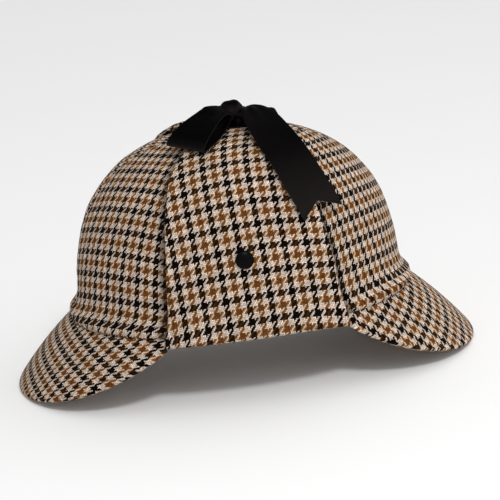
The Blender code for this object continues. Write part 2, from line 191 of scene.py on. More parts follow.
def check_cloth():
    """Gun-club check in 2/2 twill: bands of four black, cream, rust and cream threads."""
    material, wire, shader = new_material("check_cloth")
    cut = wire.add("UVMap", {"uv_map": "cut"})
    wander = wire.noise(cut, WANDER_TURNS, detail=3.0, output=1)
    wander = wire.add("VectorMath", {"operation": "SUBTRACT"}, {0: wander, 1: (0.5, 0.5, 0.5)})
    place = wire.add("VectorMath", {"operation": "ADD"}, {0: cut, 1: wander.scaled(WANDER)})
    across = place.part(0) / THREADS[0]
    along = place.part(1) / THREADS[1]
    warp, weft = across.floor(), along.floor()

    # Whether the warp or the weft lies on top. The line between them climbs in steps.
    turn = (warp - weft) % 4
    dark_warp = in_band(across % (2 * BAND), 0, 0)
    dark_weft = in_band(along % (2 * BAND), 0, 0)
    plump = WARP_PLUMPNESS * dark_warp - WEFT_PLUMPNESS * dark_weft
    slant = warp - weft + STEP_SOFTNESS * ((across - warp) - (along - weft))
    over = (slant + 0.5 + 0.5 * plump) % 4 < 2 + plump

    # Each float is a small ridge, with a tone of its own and a groove where it dips under. Its
    # height feeds the bump, and also darkens the colour as painted shade.
    inside = over * (across - warp) + (1 - over) * (along - weft)
    run = 0.5 * (over * (along - weft + 1 - turn) + (1 - over) * (across - warp + turn - 2))
    start = wire.add("CombineXYZ", sockets={0: warp - (1 - over) * (turn - 2),
                                            1: weft + over * (turn - 1)})
    loose = wire.add("TexWhiteNoise", {"noise_dimensions": "2D"}, {0: start}, output=0)
    ridge = inside * (1 - inside) * 4
    crown = wire.maths("MAXIMUM", run * (1 - run) * 4, 0.0)
    bank = (slant + 0.5) % 2
    groove = wire.maths("MINIMUM", bank * (2 - bank) * 1.8, 1.0)
    height = ridge * (0.25 + 0.75 * crown) * (0.50 + 0.50 * groove)

    # The colour of the thread on top, tinted a little by the one beneath it.
    on_top = along + over * (across - along)
    beneath = across + over * (along - across)
    is_black = in_band(on_top, 0, BLACK_SPREAD)
    is_rust = in_band(on_top, 2 * BAND, RUST_SPREAD)
    over_black = in_band(beneath, 0, BLACK_SPREAD)
    over_rust = in_band(beneath, 2 * BAND, RUST_SPREAD)
    cream, rust, black = (
        wire.mix(over_black, wire.mix(over_rust, on_cream, on_rust), on_black)
        for on_cream, on_rust, on_black in YARNS)
    colour = wire.mix(is_black, wire.mix(is_rust, cream, rust), black)

    # Wool's fibres, the flecks of its mixed dye, and the painted shadow on the crown beside the
    # flaps' edges.
    fibres = wire.noise(cut, FIBRES, detail=4.0)
    heather = wire.noise(cut, FLECKS, detail=2.0)
    tone = wire.noise(cut, TONES, detail=2.0)
    # painted shade: the colour is darker down each float's sides and in the grooves between floats
    shade = (0.34 + 0.66 * height) * (0.62 + 0.38 * loose) * (0.45 + 1.1 * heather)
    shade = 1.05 * shade * (0.75 + 0.35 * fibres + 0.15 * tone)
    # painted shadow: the cloth is darker beside the flaps' edges, in uneven patches
    painted_shadow = wire.add("Attribute", {"attribute_name": "painted_shadow"}, output=2)
    uneven = wire.noise(cut, PAINTED_SHADOW_BREAKS, detail=4.0)
    shade = shade * (1 - PAINTED_SHADOW_STRENGTH * painted_shadow * (0.15 + 1.6 * uneven))
    wire.feed(shader, "Base Color", colour.scaled(shade))
    wire.feed(shader, "Roughness", 0.80 + 0.18 * fibres)
    sockets = {"Strength": 0.6, "Distance": CLOTH_RELIEF,
               "Height": height * 0.7 + fibres * 0.5 + heather * 0.3}
    wire.feed(shader, "Normal", wire.add("Bump", sockets=sockets))
    shader.inputs["Sheen Weight"].default_value = 0.03
    shader.inputs["Sheen Roughness"].default_value = 0.45
    shader.inputs["Sheen Tint"].default_value = (0.90, 0.66, 0.42, 1)
    shader.inputs["Specular IOR Level"].default_value = 0.02
    return material


CHECK_CLOTH = check_cloth()


def unit(vectors):
    """The same directions with a length of 1."""
    return vectors / np.maximum(np.linalg.norm(vectors, axis=-1, keepdims=True), 1e-12)


def points(x, y, z):
    """Points from their coordinates, as rows of three."""
    return np.stack(np.broadcast_arrays(x, y, z), axis=-1).astype(float)


def tangents(face, across, up, step=0.004):
    """The directions across and up a surface, and its normal."""
    left, right = np.maximum(across - step, 0), np.minimum(across + step, 1)
    low, high = np.maximum(up - step, 0), np.minimum(up + step, 1)
    run = unit(face(right, up) - face(left, up))
    climb = unit(face(across, high) - face(across, low))
    return run, climb, unit(np.cross(run, climb))


def arc_cut(middle):
    """The flat cut of a curved face: lengths along its rows and up its middle."""
    rows, columns = middle.shape[:2]
    sideways = np.linalg.norm(np.diff(middle, axis=1), axis=-1)
    sideways = np.concatenate([np.zeros((rows, 1)), np.cumsum(sideways, axis=1)], axis=1)
    sideways -= sideways[:, columns // 2][:, None]
    climb = np.linalg.norm(np.diff(middle[:, columns // 2], axis=0), axis=-1)
    climb = np.concatenate([[0.0], np.cumsum(climb)])[:, None]
    return np.stack(np.broadcast_arrays(sideways, climb), axis=-1)


# How the check lies on a piece: where in its flat cut this is measured, then, as (across
# the warp, along it), the threads there, those in a metre along the cut and up it, and how
# these bend.
FRONT_WEAVE = (
    (0.0074, 0.0570), (9.92, 7.84), (1485, -4), (-14, 1159),
    (829, 3989), (2867, -181), (3020, 605),
    (-71839, -8489), (39498, 39571), (6619, -10147), (25276, -17829),
)
BACK_WEAVE = (
    (-0.0083, 0.0515), (5.00, 11.03), (1594, 38), (117, 1108),
    (1342, 2991), (4659, 373), (-5203, 813),
    (65358, -14839), (-37458, 28172), (-128482, 20489), (1148, -13616),
)
WEAVE_REACH = (0.060, 0.095)    # beyond this the threads bend no further


def woven(flat, weave, side=1):
    """Where the threads run on a flat cut. A piece of the other side is its mirror image."""
    if weave is None:
        return flat
    middle, *terms = (np.array(term) for term in weave)
    place = flat * (side, 1) - middle
    run, climb = np.moveaxis(place, -1, 0)
    near, high = np.moveaxis(np.clip(place, -np.array(WEAVE_REACH), WEAVE_REACH), -1, 0)
    powers = (np.ones_like(run), run, climb,
              near * (2 * run - near), near * high, high * (2 * climb - high),
              near ** 3, near ** 2 * high, near * high ** 2, high ** 3)
    threads = sum(power[..., None] * term for power, term in zip(powers, terms))
    return threads * THREADS * (side, 1)


def turned_edge(count, width, edge):
    """Grid lines across a face and round its edges: their places, and how far past."""
    inset = np.minimum(edge / width, MOST_EDGE)[..., None]
    inner = inset + (1 - 2 * inset) * np.linspace(0, 1, count + 1)
    past = np.array(TURNS)
    lines = np.concatenate([np.repeat(inner[..., :1], len(past), axis=-1), inner,
                            np.repeat(inner[..., -1:], len(past), axis=-1)], axis=-1)
    return lines, np.concatenate([-past[::-1], np.zeros(count + 1), past])


def cloth_wall(name, columns, rows, face, wall, edge, cut=arc_cut, pinch=0.0, lowest=None,
               weave=None, side=1):
    """A closed wall of cloth whose two faces roll round its edges and meet in the middle.

    face(across, up) is its outer face, and cut(its points) gives their places in the flat
    cut, in metres, on which the weave lies. The faces' seam is drawn in by the pinch.
    """
    ups = np.linspace(0, 1, rows + 1)
    left, middle, right = (face(np.full(rows + 1, share), ups) for share in (0, 0.5, 1))
    width = np.maximum(np.linalg.norm(right - left, axis=-1), 0.001)
    height = np.linalg.norm(np.diff(middle, axis=0), axis=-1).sum()
    up_line, up_past = turned_edge(rows, np.array(height), edge)
    row_width = np.interp(up_line, ups, width)
    across, across_past = turned_edge(columns, row_width, edge)
    up = np.broadcast_to(up_line[:, None], across.shape)
    past_a, past_u = (v[..., None] for v in np.broadcast_arrays(across_past, up_past[:, None]))

    past = np.maximum(abs(past_a), abs(past_u))
    radius = np.minimum(edge, MOST_EDGE * row_width)[:, None, None]
    swing = np.minimum(past / TURNS[-2], 1) * math.pi / 2
    drop = np.clip((past - TURNS[-2]) / (1 - TURNS[-2]), 0, 1)
    out = radius * np.sin(swing) - pinch * drop
    sink = radius * (1 - np.cos(swing)) + drop * (wall / 2 - radius)
    outer = face(across, up)
    run, climb, normal = tangents(face, across, up)
    rolled = outer + unit(run * past_a + climb * past_u) * out

    ring = len(TURNS)
    flat = woven(cut(outer[ring:-ring, ring:-ring]), weave, side)
    flat_run = unit(np.diff(flat, axis=1).mean(axis=(0, 1)))
    flat_climb = unit(np.diff(flat, axis=0).mean(axis=(0, 1)))
    flat = np.pad(flat, ((ring, ring), (ring, ring), (0, 0)), mode="edge")
    length = radius * swing + drop * (wall / 2 - radius)
    flat = flat + unit(flat_run * past_a + flat_climb * past_u) * length

    halves = []
    for half, depth, flip in (("outer", sink, 1), ("inner", wall - sink, -1)):
        corners = rolled - normal * depth + (0, 0, RIM_HEIGHT)
        if lowest is not None:
            corners[..., 2] = np.maximum(corners[..., 2], lowest)
        halves.append(grid_piece(f"{name}_{half}", corners, flat * (flip, 1)))
    return join_halves(name, halves)


def corners_of(mesh):
    """The places of a mesh's corners."""
    places = np.empty(len(mesh.vertices) * 3)
    mesh.vertices.foreach_get("co", places)
    return places.reshape(-1, 3)


def grid_piece(name, corners, flat):
    """A grid of faces through rows of points, with its flat cut as a UV map."""
    rows, columns = corners.shape[:2]
    bpy.ops.mesh.primitive_grid_add(x_subdivisions=columns - 1, y_subdivisions=rows - 1, size=1)
    piece = bpy.context.object
    piece.name = name
    mesh = piece.data
    places = corners_of(mesh)
    column = np.rint((places[:, 0] + 0.5) * (columns - 1)).astype(int)
    row = np.rint((places[:, 1] + 0.5) * (rows - 1)).astype(int)
    mesh.vertices.foreach_set("co", corners[row, column].ravel())
    vertex_of = np.empty(len(mesh.loops), dtype=int)
    mesh.loops.foreach_get("vertex_index", vertex_of)
    layer = mesh.uv_layers.active or mesh.uv_layers.new()
    layer.name = "cut"
    layer.data.foreach_set("uv", flat[row, column][vertex_of].ravel())
    return piece


def join_halves(name, halves):
    """Join a wall's two faces where they meet, with every face pointing out."""
    bpy.ops.object.select_all(action="DESELECT")
    for half in halves:
        half.select_set(True)
    bpy.context.view_layer.objects.active = halves[0]
    bpy.ops.object.join()
    piece = bpy.context.object
    piece.name = piece.data.name = name
    bpy.ops.object.mode_set(mode="EDIT")
    bpy.ops.mesh.select_all(action="SELECT")
    bpy.ops.mesh.remove_doubles(threshold=0.000005)
    bpy.ops.mesh.normals_make_consistent(inside=False)
    bpy.ops.object.mode_set(mode="OBJECT")
    bpy.ops.object.shade_smooth()
    return piece


def dress(piece, material, node):
    """Give a piece its material, and let it stand for its solid."""
    piece.data.materials.clear()
    piece.data.materials.append(material)
    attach(piece, "root")
    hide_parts(node)


ANGLES = np.linspace(0, math.pi / 2, 600)


def section(angle):
    """The dome's upright section at an angle: share of the half width, and rise."""
    power = 2 / ROUNDNESS
    return np.clip(np.cos(angle), 0, 1) ** power, CROWN_RISE * np.sin(angle) ** power


SHARES, RISES = section(ANGLES)
ARC = np.cumsum(np.hypot(np.diff(SHARES) * (HALF_LENGTH + HALF_WIDTH) / 2, np.diff(RISES)))
ARC = np.concatenate([[0.0], ARC / ARC[-1]])


def crown_skin(turn, climb):
    """The crown's outside: turn is an angle seen from above, climb 0 at the rim to 1."""
    share, rise = section(np.interp(climb, ARC, ANGLES))
    flare = np.exp(-((rise / FLARE_RISE) ** 2))
    tuck = TUCK * np.clip(1 - rise / TUCK_RISE, 0, 1) ** 3
    beside = np.clip((abs(np.sin(turn)) - ROLL_START) / ROLL_FADE, 0, 1)
    roll = ROLL * beside * np.exp(-(((rise - ROLL_RISE) / ROLL_SPREAD) ** 2)) - tuck
    across = HALF_WIDTH * share + FLARE_WIDTH * flare + roll
    along = HALF_LENGTH * share + FLARE_LENGTH * flare + roll
    low = RIM_DROP * beside * np.clip(1 - rise / RIM_DROP_RISE, 0, 1) ** 2
    return points(across * np.cos(turn), along * np.sin(turn), rise - low)


def unevenness(place, size):
    """Gentle, wide rises and hollows such as handled cloth has."""
    x, y, z = (place[..., axis] for axis in range(3))
    waves = np.sin(61 * x + 83 * z + 0.7) * np.sin(74 * y - 37 * z + 2.1)
    waves += 0.6 * np.sin(131 * y + 57 * x - 1.3) * np.sin(118 * z + 49 * y + 0.4)
    waves += 0.35 * np.sin(217 * x - 90 * y + 2.9) * np.sin(229 * z + 141 * y - 0.8)
    return size * waves


def gore(name, first, last, weave, side):
    """One gore between two seams, given in degrees round from the wearer's left."""
    first, last = math.radians(first), math.radians(last)

    def face(across, up):
        climb = GORE_TOP * up
        radius = np.linalg.norm(crown_skin(first, climb)[..., :2], axis=-1)
        gap = SEAM_GAP / 2 / np.maximum(radius, 0.001)
        turn = first + gap + (last - first - 2 * gap) * across
        place = crown_skin(turn, climb)
        normal = unit(points(np.cos(turn) / HALF_WIDTH, np.sin(turn) / HALF_LENGTH,
                             climb / CROWN_RISE))
        aside = np.minimum(across, 1 - across) * (last - first) * radius
        run_up = climb * (HALF_LENGTH + CROWN_RISE) * 0.75
        pucker = np.sin(2 * math.pi * run_up / PUCKER_LENGTH + 9 * first)
        pucker = PUCKER * pucker * np.exp(-((aside / PUCKER_REACH) ** 2))
        swell = GORE_SWELL * (1 - (2 * across - 1) ** 2) * np.sin(math.pi * up) ** 0.5
        uneven = unevenness(place, GORE_UNEVENNESS) * np.clip(up / 0.08, 0, 1)
        return place + normal * (swell + pucker + uneven)[..., None]

    piece = cloth_wall(name + "_cloth", *GORE_GRID, face, GORE_WALL, GORE_EDGE,
                       weave=weave, side=side)
    dress(piece, CHECK_CLOTH, name)
    return piece


SIDE_CUT = (0.0962, 0.1520, 0.00992)    # width, length and area of a gore's flat cut
END_CUT = (0.1016, 0.1683, 0.01111)
crown_cloths = []
for gore_name, first_seam, last_seam, gore_weave, gore_side, gore_cut, sewn_to in (
    ("crown_side_left", -SIDE_SEAM, SIDE_SEAM, None, 1, SIDE_CUT, "crown_front_left"),
    ("crown_back_left", SIDE_SEAM, 90, BACK_WEAVE, 1, END_CUT, "rear_peak"),
    ("crown_back_right", 90, 180 - SIDE_SEAM, BACK_WEAVE, -1, END_CUT, "rear_peak"),
    ("crown_side_right", 180 - SIDE_SEAM, 180 + SIDE_SEAM, None, 1, SIDE_CUT, "crown_front_right"),
    ("crown_front_right", 180 + SIDE_SEAM, 270, FRONT_WEAVE, -1, END_CUT, "front_peak"),
    ("crown_front_left", 270, 360 - SIDE_SEAM, FRONT_WEAVE, 1, END_CUT, "front_peak"),
):
    cloth = gore(gore_name, first_seam, last_seam, gore_weave, gore_side)
    crown_cloths.append(cloth)


# ---- peaks ------------------------------------------------------------------------------
# Front and rear peak: a crescent of stiff board between two cloths, seamed round its edge
# and sewn under the crown's rim. Its lowest edge is pressed flat where the hat stands.

PEAK_GRID = (96, 28)
PEAK_WALL = 0.0030
PEAK_EDGE = 0.00145
PEAK_PINCH = 0.00035        # how far the seam round the edge draws in
PEAK_HALF_ANGLE = math.radians(60.0)
PEAK_REACH = 0.0389         # how far the peak stands out, and how far it comes down
PEAK_FALL = 0.0414
FRONT_FULLNESS = 2.05       # of the crescent: 2 is a parabola, and more is squarer
REAR_FULLNESS = 2.40
PEAK_ROOT_INSET = 0.0017    # how far the root lies inside the rim, and how far under it
PEAK_ROOT_DROP = 0.00145
PEAK_HORN = 0.10            # width left at the crescent's two ends, as a share of the middle
HORN_START = 0.955          # where the ends begin to narrow, and by how much they do
HORN_LENGTH = 0.045
HORN_NARROWING = 0.45
PEAK_CROWNING = 0.0016      # outward curve between root and edge
FRONT_PEAK_WEAVE = (
    (0.0470, -0.0081), (0.37, 8.32), (1477, -62), (24, 1107),
    (-2161, -1238), (-1216, -1104), (2662, 294),
)
REAR_PEAK_WEAVE = (
    (-0.0534, -0.0060), (10.00, 8.95), (1324, 74), (-25, 1127),
    (-425, -3137), (-1350, 811), (-1592, 187),
)


def third_corner(first, second, to_first, to_second, side):
    """The corner of a flat triangle on a side of the line from first to second."""
    line = second - first
    length = max(np.linalg.norm(line), 1e-9)
    along = (to_first ** 2 - to_second ** 2 + length ** 2) / (2 * length)
    off = math.sqrt(max(to_first ** 2 - along ** 2, 0.0))
    ahead = line / length
    return first + ahead * along + np.array([-ahead[1], ahead[0]]) * off * side


def unrolled(middle):
    """The flat cut of a peak: its strips from edge to root, unrolled from the middle out."""
    edge, root = middle[0], middle[-1]
    columns = middle.shape[1]
    flat_edge, flat_root = np.zeros((columns, 2)), np.zeros((columns, 2))
    centre = columns // 2
    flat_edge[centre] = (0, -np.linalg.norm(edge[centre] - root[centre]))
    for side, order in ((1, range(centre, columns - 1)), (-1, range(centre, 0, -1))):
        for old in order:
            new = old + side
            flat_root[new] = third_corner(
                flat_root[old], flat_edge[old], np.linalg.norm(root[new] - root[old]),
                np.linalg.norm(root[new] - edge[old]), side)
            flat_edge[new] = third_corner(
                flat_root[new], flat_edge[old], np.linalg.norm(edge[new] - root[new]),
                np.linalg.norm(edge[new] - edge[old]), side)
    out = np.linspace(1, 0, middle.shape[0])[:, None, None]
    return flat_root + (flat_edge - flat_root) * out


def offset(middle, distance):
    """The face that lies a distance outside a middle surface."""
    def face(across, up):
        return middle(across, up) + tangents(middle, across, up)[2] * distance
    return face


def peak(name, facing, fullness, weave):
    """A peak that faces the front, -1, or the rear, 1."""
    root_length = HALF_LENGTH + FLARE_LENGTH - PEAK_ROOT_INSET
    root_width = HALF_WIDTH + FLARE_WIDTH - PEAK_ROOT_INSET
    slope_length = math.hypot(PEAK_REACH, PEAK_FALL)

    def middle(across, up):
        share, out = 2 * across - 1, 1 - up
        turn = share * PEAK_HALF_ANGLE
        span = PEAK_HORN + (1 - PEAK_HORN) * (1 - abs(share) ** fullness)
        horn = np.clip((abs(share) - HORN_START) / HORN_LENGTH, 0, 1)
        span = span * (1 - HORN_NARROWING * horn ** 2)
        away = unit(points(np.sin(turn) / root_width, np.cos(turn) / root_length, 0.0))
        down = np.array([0.0, 0.0, -1.0])
        root = points(root_width * np.sin(turn), root_length * np.cos(turn), -PEAK_ROOT_DROP)
        crowning = (away * PEAK_FALL - down * PEAK_REACH) / slope_length * PEAK_CROWNING
        place = root + (away * PEAK_REACH + down * PEAK_FALL) * (span * out)[..., None]
        place = place + crowning * (span * 4 * out * (1 - out))[..., None]
        return place * (-facing, facing, 1)

    face = offset(middle, PEAK_WALL / 2)
    piece = cloth_wall(name + "_cloth", *PEAK_GRID, face, PEAK_WALL, PEAK_EDGE,
                       cut=unrolled, pinch=PEAK_PINCH, lowest=0.0, weave=weave)
    dress(piece, CHECK_CLOTH, name)


peak("front_peak", -1, FRONT_FULLNESS, FRONT_PEAK_WEAVE)
peak("rear_peak", 1, REAR_FULLNESS, REAR_PEAK_WEAVE)


# ---- ear flaps --------------------------------------------------------------------------
# Two cloths bagged out, sewn under the rim and turned up over the crown's sides. Each
# tapers to the ribbon at its tip, and its side edges stand a little off the crown.

FLAP_GRID = (64, 96)
FLAP_WALL = 0.0030
FLAP_EDGE = 0.00145
FLAP_PINCH = 0.00030
FLAP_SEAT = 0.0008          # from the crown's plain form to the flap's inside
FLAP_STAND_OFF = 0.0026     # how far its side edges lift from the crown
FLAP_UNEVENNESS = 0.0005
FLAP_BASE_HALF_WIDTH = 0.0520
FLAP_END = 0.945            # how far up the dome the tip reaches
FLAP_HEM_INSET = 0.0012     # how far the hem runs in under the crown's wall
FLAP_HEM_TURN = 0.35        # share of the hem that lies flat before it turns up
FLAP_HEM_SHARE = 0.14       # share of the piece's length that is hem
STAND_CLEAR = 0.0003
HEM_DROOP = 0.0032          # how far the hem's corners hang
HEM_DROOP_REAR = 0.0006     # what the rear corner hangs more, and the front one less
HEM_DROOP_RISE = 0.15
PAINTED_SHADOW_START = 0.0034       # the crown is painted in shadow this far from a flap's edge, then less
PAINTED_SHADOW_WIDTH = 0.0023
PAINTED_SHADOW_DEPTH = -0.03        # deeper in the dome lies the cloth's inside, without painted shadow
FLAP_WEAVE = (
    (-0.0015, 0.0597), (6.44, 1.93), (1196, -35), (21, 1122),
    (-345, 1763), (121, 52), (-201, 792),
)
FLAP_OUTLINE = (
    # (share of the way up, half width as a share of the base, shift to the rear)
    (0.00, 1.00, 0.0000),
    (0.30, 0.92, -0.0010),
    (0.55, 0.80, -0.0025),
    (0.75, 0.65, -0.0010),
    (0.88, 0.44, 0.0030),
    (1.00, 0.16, 0.0070),
)


def through(rows, share, column):
    """A smooth curve through a table's column, read at places along its first one."""
    keys = np.array([row[0] for row in rows])
    values = np.array([row[column] for row in rows])
    slopes = np.gradient(values, keys)
    low = np.clip(np.searchsorted(keys, share, side="right") - 1, 0, len(keys) - 2)
    step = keys[low + 1] - keys[low]
    part = (share - keys[low]) / step
    return (values[low] * (1 + 2 * part) * (1 - part) ** 2
            + slopes[low] * step * part * (1 - part) ** 2
            + values[low + 1] * part ** 2 * (3 - 2 * part)
            + slopes[low + 1] * step * part ** 2 * (part - 1))


def plain_value(place):
    """Below 0 inside the crown's plain form, above 0 outside it."""
    plan = np.hypot(place[..., 0] / HALF_WIDTH, place[..., 1] / HALF_LENGTH)
    rise = np.maximum(place[..., 2], 0) / CROWN_RISE
    return plan ** ROUNDNESS + rise ** ROUNDNESS - 1


def plain_normal(place):
    """The direction square to the crown's plain form."""
    step = 0.0002
    slopes = [plain_value(place + axis) - plain_value(place - axis) for axis in np.eye(3) * step]
    return unit(np.stack(slopes, axis=-1))


def drop_on_crown(start, heading):
    """Slide points along a heading until they meet the crown's plain form."""
    near = np.zeros(start.shape[:-1])
    far = np.full(start.shape[:-1], 0.12)
    for _ in range(34):
        middle = (near + far) / 2
        outside = plain_value(start + heading * middle[..., None]) > 0
        near, far = np.where(outside, middle, near), np.where(outside, far, middle)
    return start + heading * near[..., None]


def flared(seat):
    """Carry points of the crown's plain form out to its flared rim."""
    turn = np.arctan2(seat[..., 1] / HALF_LENGTH, seat[..., 0] / HALF_WIDTH)
    flare = np.exp(-((seat[..., 2] / FLARE_RISE) ** 2))
    return seat + points(FLARE_WIDTH * flare * np.cos(turn), FLARE_LENGTH * flare * np.sin(turn), 0)


def flap_seat(across, share):
    """Where a point of the left flap lies on the crown, and how far aside it is."""
    span = 2 * across - 1
    plan, rise = section(np.interp(share * FLAP_END, ARC, ANGLES))
    centre = points(HALF_WIDTH * plan, 0.0, rise)
    facing = plain_normal(centre)
    aside = span * FLAP_BASE_HALF_WIDTH * through(FLAP_OUTLINE, share, 1)
    start = centre + facing * 0.3 * HALF_WIDTH
    start = start + points(0.0, aside + through(FLAP_OUTLINE, share, 2), 0.0)
    return drop_on_crown(start, -facing), span


def flap_middle(across, share):
    """The middle of the left flap's two cloths, above its hem."""
    seat, span = flap_seat(across, share)
    stand_off = FLAP_STAND_OFF * abs(span) ** 2.5 * np.sin(math.pi * np.clip(share, 0, 1)) ** 0.5
    rise = FLAP_SEAT + FLAP_WALL / 2 + stand_off
    rise = rise + FLAP_UNEVENNESS * (1 + unevenness(seat, 1.0))
    return flared(seat) + plain_normal(seat) * rise[..., None]


def hem_middle(across, turned):
    """The hem: from under the crown's wall, round its lower corner, up to the flap."""
    top = flap_middle(across, np.zeros_like(turned))
    span = 2 * across - 1
    start = points(1.3 * HALF_WIDTH, span * FLAP_BASE_HALF_WIDTH, 0.0)
    corner = flared(drop_on_crown(start, np.array([-1.0, 0.0, 0.0])))
    outward = unit(top - corner)
    side_radius = np.linalg.norm(top - corner, axis=-1)
    low_radius = FLAP_WALL / 2 + STAND_CLEAR
    flat_part = np.clip(1 - turned / FLAP_HEM_TURN, 0, 1)
    swing = np.clip((turned - FLAP_HEM_TURN) / (1 - FLAP_HEM_TURN), 0, 1) * math.pi / 2
    out = side_radius * np.sin(swing) - FLAP_HEM_INSET * flat_part
    return corner + outward * out[..., None] - points(0.0, 0.0, low_radius * np.cos(swing))


def whole_flap(across, up):
    """The flap with its hem. The hem's two corners droop, to the peaks' own lower edges."""
    share = np.clip((up - FLAP_HEM_SHARE) / (1 - FLAP_HEM_SHARE), 0, 1)
    turned = np.clip(up / FLAP_HEM_SHARE, 0, 1)
    is_hem = (up < FLAP_HEM_SHARE)[..., None]
    span = 2 * across - 1
    droop = (HEM_DROOP + HEM_DROOP_REAR * span) * abs(span) ** 3
    droop = droop * np.clip(turned / FLAP_HEM_TURN, 0, 1)
    droop = droop * np.clip(1 - share / HEM_DROOP_RISE, 0, 1) ** 2
    place = np.where(is_hem, hem_middle(across, turned), flap_middle(across, share))
    return place - points(0.0, 0.0, droop)


def mirrored(face):
    """The same face on the wearer's other side."""
    def other(across, up):
        return face(1 - across, up) * (-1, 1, 1)
    return other


def paint_flap_edge_shadows(cloths, side):
    """Mark the crown's cloth beside a flap's two edges, where it is painted darker as their shadow.
    """
    climb = np.linspace(0, 1, 240)
    edges = np.concatenate([flared(flap_seat(np.full_like(climb, across), climb)[0])
                            for across in (0.0, 1.0)])
    edges = edges * (side, 1, 1) + (0, 0, RIM_HEIGHT)
    for cloth in cloths:
        mesh = cloth.data
        corners = corners_of(mesh)
        near = np.full(len(corners), 1.0)
        for spot in edges:
            near = np.minimum(near, np.linalg.norm(corners - spot, axis=1))
        marks = mesh.attributes.get("painted_shadow") or mesh.attributes.new("painted_shadow", "FLOAT", "POINT")
        values = np.empty(len(corners))
        marks.data.foreach_get("value", values)
        painted_shadow = np.exp(-((np.maximum(near - PAINTED_SHADOW_START, 0) / PAINTED_SHADOW_WIDTH) ** 2))
        painted_shadow = painted_shadow * (plain_value(corners - (0, 0, RIM_HEIGHT)) > PAINTED_SHADOW_DEPTH)
        marks.data.foreach_set("value", np.maximum(values, painted_shadow))


for flap_name, flap_form, flap_side, lies_on in (
    ("ear_flap_left", whole_flap, 1, "crown_side_left"),
    ("ear_flap_right", mirrored(whole_flap), -1, "crown_side_right"),
):
    flap_face = offset(flap_form, FLAP_WALL / 2)
    flap = cloth_wall(flap_name + "_cloth", *FLAP_GRID, flap_face, FLAP_WALL, FLAP_EDGE,
                      pinch=FLAP_PINCH, weave=FLAP_WEAVE, side=flap_side)
    dress(flap, CHECK_CLOTH, flap_name)
    paint_flap_edge_shadows(crown_cloths, flap_side)


# ---- ribbon ties, loops and tails -------------------------------------------------------
# Black grosgrain, 28 mm wide, sewn to each flap's tip and tied in a bow: two loops and two
# tails that lie down the sides, each tail cut to an inverted V.

RIBBON_WALL = 0.0007
RIBBON_EDGE = 0.0003
RIBBON_WIDTH = 0.0285
RIB_PITCH = 0.00095
THREAD_PITCH = 0.00035
RIBBON_RELIEF = 0.00010
RIBBON_BLACK = (0.0005, 0.0004, 0.0005)     # painted shade, where it faces up
RIBBON_PAINTED_LIGHT = (0.0150, 0.0122, 0.0122)      # painted light, where it hangs
FACING_UP = 0.92            # rise of the surface's direction above which it faces up and is painted in full shade
TAIL_STRAIGHT = 1.10        # length with the straight end, as a share of the stations'
TAIL_LENGTH = 0.0750
TAIL_NOTCH = 0.0080         # depth of the inverted V in a tail's end
TIE_START = 0.0006          # from the middle of the hat, under the knot
TIE_LENGTH = 0.0150
TIE_REAR = 0.0080
TIE_WIDTH = (0.50, 0.58)    # under the knot and at the flap, as a share of the ribbon's
TIE_CLEAR = 0.0006
PLEATS = 5.2                # half folds across the ribbon
PLEAT_DEPTH = 0.0010
PLEAT_REACH = 0.0150        # how far from the knot they run out
KNOT_CENTRE = np.array([0.0, 0.0055, 0.1182])
RIBBON_COLUMNS = 40
LOOP_ROWS = 150
TAIL_ROWS = 120
TIE_ROWS = 24

LOOP_LEFT_HEADING = -40     # degrees round from the wearer's left
LOOP_LEFT_STATIONS = (
    # A ribbon's course from the knot: (left, rear, height over the crown, share of its
    # width, degrees of roll)
    (0.00545, -0.00015, 0.0140, 0.36, -20),
    (0.0092, -0.0048, 0.0152, 0.50, -16),
    (0.0145, -0.0105, 0.0142, 0.66, -6),
    (0.0225, -0.0184, 0.0124, 0.84, -2),
    (0.0298, -0.0246, 0.0110, 0.93, 0),
    (0.0332, -0.0270, 0.0090, 0.94, 1),
    (0.0305, -0.0240, 0.0070, 0.94, 2),
    (0.0235, -0.0160, 0.0068, 0.90, 1),
    (0.0150, -0.0080, 0.0076, 0.68, 0),
    (0.0066, 0.0010, 0.0098, 0.36, 0),
)
LOOP_RIGHT_HEADING = 178
LOOP_RIGHT_STATIONS = (
    (-0.0078, 0.0034, 0.0118, 0.36, 0),
    (-0.0120, 0.0022, 0.0120, 0.48, 4),
    (-0.0180, 0.0010, 0.0114, 0.58, 5),
    (-0.0255, 0.0000, 0.0102, 0.64, 5),
    (-0.0315, -0.0003, 0.0091, 0.64, 4),
    (-0.0338, -0.0004, 0.0075, 0.64, 2),
    (-0.0315, -0.0003, 0.0060, 0.64, 0),
    (-0.0240, 0.0002, 0.0060, 0.60, 0),
    (-0.0155, 0.0018, 0.0070, 0.52, 0),
    (-0.0078, 0.0034, 0.0092, 0.36, 0),
)
TAIL_LEFT_STATIONS = (
    (0.0060, 0.0108, 0.0128, 0.40, 0),
    (0.0098, 0.0152, 0.0158, 0.62, -6),
    (0.0158, 0.0188, 0.0138, 0.86, -8),
    (0.0250, 0.0224, 0.0098, 0.98, -5),
    (0.0363, 0.0266, 0.0076, 1.00, 0),
    (0.0474, 0.0318, 0.0074, 1.00, 0),
    (0.0548, 0.0364, 0.0074, 1.00, 0),
    (0.0596, 0.0414, 0.0076, 1.00, 0),
)
TAIL_RIGHT_STATIONS = (
    (-0.0048, 0.0122, 0.0110, 0.36, 0),
    (-0.0090, 0.0170, 0.0104, 0.54, 0),
    (-0.0150, 0.0208, 0.0092, 0.70, 0),
    (-0.0240, 0.0228, 0.0082, 0.82, 0),
    (-0.0350, 0.0242, 0.0076, 0.92, 0),
    (-0.0450, 0.0260, 0.0074, 1.00, 0),
    (-0.0530, 0.0280, 0.0074, 1.00, 0),
    (-0.0595, 0.0305, 0.0076, 1.00, 0),
)


